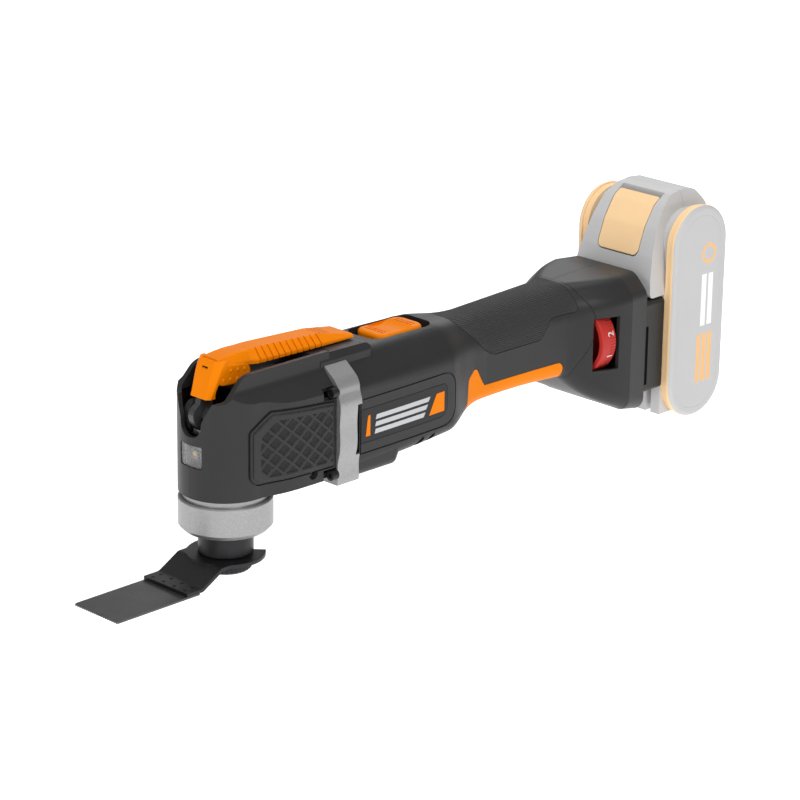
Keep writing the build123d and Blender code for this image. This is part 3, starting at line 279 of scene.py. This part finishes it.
def lens_finish():
    g = Graph("lens_clear")
    g.link(g.span(g.noise(60.0, 3.0), 0.3, 0.7, 0.04, 0.12), g.shader.inputs["Roughness"])
    g.link(g.mix(g.noise(40.0), linear(238, 240, 240), linear(250, 250, 250)), g.shader.inputs["Base Color"])
    g.shader.inputs["Transmission Weight"].default_value = 0.95
    g.shader.inputs["IOR"].default_value = 1.47
    return g.material


finishes["lens"] = lens_finish()

slot_of = {part["node"]: part["material_slot"] for part in frame["record"]["subparts"]}
own_finish = {"rear_grip": grip_finish, "left_side_pad": ridge_finish, "right_side_pad": ridge_finish,
              "gearbox_case": finishes["black_plastic"], "lever_arm": arm_finish, "led_board": board_finish,
              "left_battery_cover": cover_finish, "right_battery_cover": cover_finish}
for name, node in nodes.items():
    finish = own_finish.get(name, finishes[slot_of[name]])
    if not node.material_slots:
        node.data.materials.append(finish)
    for place in node.material_slots:
        place.material = finish


# ------------------------------------------------------------------ mesh helpers
def new_piece(name, mesh_builder, finish, body):
    """A mesh piece from a bmesh, with its material, on a CAD body."""
    mesh = bpy.data.meshes.new(name)
    mesh_builder.normal_update()
    mesh_builder.to_mesh(mesh)
    mesh_builder.free()
    for face in mesh.polygons:
        face.use_smooth = True
    piece = bpy.data.objects.new(name, mesh)
    bpy.context.scene.collection.objects.link(piece)
    piece.data.materials.append(finish)
    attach(piece, body)
    return piece


def caster(*names):
    """How far out the named CAD nodes reach along Y at a side-view point."""
    corners = []
    faces = []
    for name in names:
        mesh = nodes[name].data
        start = len(corners)
        corners += [v.co.copy() for v in mesh.vertices]
        faces += [[start + index for index in face.vertices] for face in mesh.polygons]
    tree = BVHTree.FromPolygons(corners, faces)

    def reach(x, z, side):
        hit = tree.ray_cast(Vector((x, side * 0.08, z)), Vector((0, -side, 0)))
        return hit[0].y if hit[0] and hit[0].y * side > 0 else None
    return reach


def inside(x, z, outline):
    """Signed distance from a side-view outline, positive inside it."""
    best = 1e9
    within = False
    for (ax, az), (bx, bz) in zip(outline, outline[1:] + outline[:1]):
        along = Vector((bx - ax, bz - az))
        t = max(0.0, min(1.0, Vector((x - ax, z - az)).dot(along) / along.length_squared))
        best = min(best, (Vector((x, z)) - Vector((ax, az)) - along * t).length)
        if (az > z) != (bz > z) and x < (bx - ax) * (z - az) / (bz - az) + ax:
            within = not within
    return best if within else -best


# ------------------------------------------------------------------ lattice on the side pads
pad_outline = [(4.6, 22.6), (4.6, 47.8), (-8.8, 56.4), (-50.4, 53.1), (-50.4, 18.5), (0, 19.3)]
lattice_outline = [(-0.8, 27.0), (-0.8, 45.0), (-11.5, 52.6), (-52.5, 50.2), (-52.5, 21.0), (-5.0, 21.6)]
lattice_pitch = 7.6
ridge_half = 0.62
ridge_rise = 0.75
lattice_slope = (0.74, 0.86)
pad_step = 0.42
pad_start = (-51.5, 17.5)
pad_size = (57, 40)
recess_below = 0.35


def ridge(x, z):
    """Height of the pad relief: plain border, then crossing ridges with coarse recesses between."""
    depth = inside(x, z, lattice_outline)
    if depth <= 0:
        return 1.0
    rise = 1.0 - min(1.0, depth / 0.5)
    for sign in (1, -1):
        line = (x * lattice_slope[0] + sign * z * lattice_slope[1]) / lattice_pitch
        away = abs(line - round(line)) * lattice_pitch / math.hypot(*lattice_slope)
        rise = max(rise, 1.0 - max(0.0, min(1.0, (away - ridge_half) / 0.35)))
    return rise


def pad_relief(name, node, side):
    reach = caster(node)
    mesh = bmesh.new()
    made = {}
    for i in range(int(pad_size[0] / pad_step)):
        for k in range(int(pad_size[1] / pad_step)):
            x = pad_start[0] + i * pad_step
            z = pad_start[1] + k * pad_step
            if inside(x, z, pad_outline) < 0.35:
                continue
            y = reach(x * MM, z * MM, side)
            if y is None:
                continue
            height = 0.04 + ridge_rise * ridge(x, z) * min(1.0, (inside(x, z, pad_outline) - 0.3) / 0.7)
            made[i, k] = mesh.verts.new((x * MM, y + side * height * MM, z * MM))
    for i, k in made:
        corners = [made.get(key) for key in ((i, k), (i + 1, k), (i + 1, k + 1), (i, k + 1))]
        if all(corners):
            face = mesh.faces.new(corners if side < 0 else corners[::-1])
            middle_x = pad_start[0] + (i + 0.5) * pad_step
            middle_z = pad_start[1] + (k + 0.5) * pad_step
            # Faces low in the relief take the second finish, whose darker colour is painted shade.
            face.material_index = 1 if ridge(middle_x, middle_z) < recess_below else 0
    piece = new_piece(name, mesh, ridge_finish, "housing")
    piece.data.materials.append(recess_grain_and_painted_shade)
    return piece


for side, word in ((1, "left"), (-1, "right")):
    pad_relief(word + "_pad_lattice", word + "_side_pad", side)


# ------------------------------------------------------------------ thin printed shapes that follow a side
print_column = 0.8
print_rows = 4
print_height = 0.12


def printed(name, outlines, reach, side, finish, body):
    """Flat shapes laid on a side surface, each a fine grid cut to its outline."""
    mesh = bmesh.new()
    for outline in outlines:
        low_x = min(p[0] for p in outline)
        high_x = max(p[0] for p in outline)
        columns = max(4, int((high_x - low_x) / print_column))
        rows = []
        for i in range(columns + 1):
            x = low_x + (high_x - low_x) * (i + 0.001) / (columns + 0.002)
            crossings = []
            for (ax, az), (bx, bz) in zip(outline, outline[1:] + outline[:1]):
                if (ax > x) != (bx > x):
                    crossings.append(az + (bz - az) * (x - ax) / (bx - ax))
            if len(crossings) < 2:
                continue
            low, high = min(crossings), max(crossings)
            rows.append([(x, low + (high - low) * t / print_rows) for t in range(print_rows + 1)])
        grid = []
        for row in rows:
            line = []
            for x, z in row:
                y = reach(x * MM, z * MM, side)
                line.append(mesh.verts.new((x * MM, (y or side * 0.03) + side * print_height * MM, z * MM)))
            grid.append(line)
        for left, right in zip(grid, grid[1:]):
            for t in range(print_rows):
                corners = [left[t], right[t], right[t + 1], left[t + 1]]
                mesh.faces.new(corners if side < 0 else corners[::-1])
    return new_piece(name, mesh, finish, body)


for side, word in ((1, "left"), (-1, "right")):
    reach = caster("label_plates")
    printed(word + "_label_flashes", [[(-74.8, 28.2), (-76.4, 40.0), (-78.2, 40.0), (-78.2, 28.2)],
                                      [(-124.5, 28.2), (-130.5, 39.6), (-137.0, 39.6), (-137.0, 28.2)]],
            reach, side, finishes["orange"], "housing")
    stripes = []
    for row in range(3):
        low = 28.4 + row * 4.1
        lean = 1.9 * row
        stripes.append([(-81.5 - lean * 0.2, low), (-82.2 - lean * 0.2, low + 2.6),
                        (-121.6 - lean, low + 2.6), (-120.2 - lean, low)])
    printed(word + "_label_stripes", stripes, reach, side, silver_print, "housing")


# ------------------------------------------------------------------ raised dots on the lever's finger pads
dome_levels = 4
dome_steps = 16


def dome(mesh, centre, out, radius, height):
    """Low dome standing on a surface, pointing along out."""
    turn = out.to_track_quat("Z", "Y").to_matrix()
    rings = []
    for level in range(dome_levels + 1):
        angle = level / dome_levels * math.pi / 2
        ring = []
        for step in range(dome_steps):
            spin = step / dome_steps * 2 * math.pi
            reach_out = math.cos(angle) * radius
            local = Vector((math.cos(spin) * reach_out, math.sin(spin) * reach_out, math.sin(angle) * height))
            ring.append(mesh.verts.new(centre + turn @ local))
            if level == dome_levels:
                break
        rings.append(ring)
    for lower, upper in zip(rings, rings[1:]):
        for step in range(dome_steps):
            after = (step + 1) % dome_steps
            if len(upper) == 1:
                mesh.faces.new((lower[step], lower[after], upper[0]))
            else:
                mesh.faces.new((lower[step], lower[after], upper[after], upper[step]))


dots = bmesh.new()
tilt = math.radians(6)
finger_pad = (1.3, 8.66, 75.9)
dot_radius = 1.15
dot_height = 0.55
for side in (1, -1):
    for row in (-2.4, 2.4):
        for column in (-7.2, -2.4, 2.4, 7.2):
            x = finger_pad[0] + column * math.cos(tilt) - row * math.sin(tilt)
            z = finger_pad[2] + column * math.sin(tilt) + row * math.cos(tilt)
            dome(dots, Vector((x, side * finger_pad[1], z)) * MM, Vector((0, side, 0)), dot_radius * MM,
                 dot_height * MM)
new_piece("lever_finger_dots", dots, finishes["orange"], "clamp_lever")

# ------------------------------------------------------------------ work light emitters
for name, place, radius, colour in (("light_main", (19.85, -0.9, 34.2), 1.4, (255, 226, 120)),
                                    ("light_mark", (19.2, -2.6, 30.6), 1.0, (225, 60, 60))):
    emitter = bmesh.new()
    dome(emitter, Vector(place) * MM, Vector((1, 0, 0)), radius * MM, 0.8 * radius * MM)
    tint = surface(name + "_lens", linear(*colour), rough=(0.15, 0.25), wear=0.0, depth=0.004)
    new_piece(name, emitter, tint, "housing")

# ------------------------------------------------------------------ numbers on the speed wheel
wheel_centre = Vector((-272.2, 12.6, 38.0)) * MM
wheel_radius = 21.0 * MM
number_height = 6.6
number_depth = 0.06
first_angle = -21
number_pitch = 38
for number in range(1, 7):
    text = bpy.data.curves.new(f"wheel_number_{number}", "FONT")
    text.body = str(number)
    text.size = number_height * MM
    text.extrude = number_depth * MM
    text.align_x = "CENTER"
    text.align_y = "CENTER"
    figure = bpy.data.objects.new(f"wheel_number_{number}", text)
    bpy.context.scene.collection.objects.link(figure)
    turn = math.radians(first_angle + (number - 1) * number_pitch)
    out = Vector((0, math.cos(turn), math.sin(turn)))
    top = Vector((0, -math.sin(turn), math.cos(turn)))
    forward = Vector((1, 0, 0))
    spin = Matrix((top, forward, out)).transposed().to_4x4()
    figure.matrix_world = Matrix.Translation(wheel_centre + out * (wheel_radius - 0.02 * MM)) @ spin
    text.materials.append(white_print)
    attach(figure, "speed_dial")


# ------------------------------------------------------------------ floor, light and camera
def floor_plane(size, height):
    mesh = bmesh.new()
    steps = 6
    grid = [[mesh.verts.new((size * (i / steps - 0.5), size * (k / steps - 0.5), height))
             for k in range(steps + 1)] for i in range(steps + 1)]
    for i in range(steps):
        for k in range(steps):
            mesh.faces.new((grid[i][k], grid[i + 1][k], grid[i + 1][k + 1], grid[i][k + 1]))
    data = bpy.data.meshes.new("floor")
    mesh.to_mesh(data)
    mesh.free()
    floor = bpy.data.objects.new("floor", data)
    bpy.context.scene.collection.objects.link(floor)
    g = Graph("floor_pale")
    g.link(g.mix(g.noise(3.0), linear(248, 248, 248), linear(252, 252, 252)), g.shader.inputs["Base Color"])
    g.shader.inputs["Roughness"].default_value = 0.9
    g.shader.inputs["Emission Color"].default_value = (1, 1, 1, 1)
    g.shader.inputs["Emission Strength"].default_value = 0.55
    floor.data.materials.append(g.material)


floor_plane(size=24.0, height=-0.11)


def softbox(name, place, target, size, power, colour=(1, 1, 1)):
    light = bpy.data.lights.new(name, "AREA")
    light.shape = "RECTANGLE"
    light.size, light.size_y = size
    light.energy = power
    light.color = colour
    lamp = bpy.data.objects.new(name, light)
    bpy.context.scene.collection.objects.link(lamp)
    lamp.location = place
    lamp.rotation_euler = (Vector(target) - Vector(place)).to_track_quat("-Z", "Y").to_euler()


middle = (-0.14, 0.0, 0.04)
softbox("key", (0.5, 1.6, 1.5), middle, (0.9, 0.9), 20)
softbox("front", (1.7, 0.3, 0.7), middle, (0.5, 1.2), 5)
softbox("top", (-0.2, -0.2, 1.8), middle, (1.8, 0.9), 13)
softbox("back", (-1.5, -0.9, 1.0), middle, (1.0, 1.0), 6)

world = bpy.data.worlds.new("studio")
world.use_nodes = True
world.node_tree.nodes["Background"].inputs["Color"].default_value = (1, 1, 1, 1)
world.node_tree.nodes["Background"].inputs["Strength"].default_value = 0.3
bpy.context.scene.world = world
bpy.context.scene.view_settings.view_transform = "Standard"

camera_data = bpy.data.cameras.new("camera")
camera_data.sensor_width = 36.0
camera_data.lens = 141.7
camera_data.clip_end = 60.0
camera = bpy.data.objects.new("camera", camera_data)
bpy.context.scene.collection.objects.link(camera)
right = Vector((-0.7054, 0.7087, 0.0134)).normalized()
back = Vector((0.6730, 0.6637, 0.3266)).normalized()
upward = back.cross(right).normalized()
right = upward.cross(back).normalized()
pose = Matrix((right, upward, back)).transposed().to_4x4()
pose.translation = Vector((1.0534, 1.1685, 0.6033))
camera.matrix_world = pose
bpy.context.scene.camera = camera

bpy.context.view_layer.update()
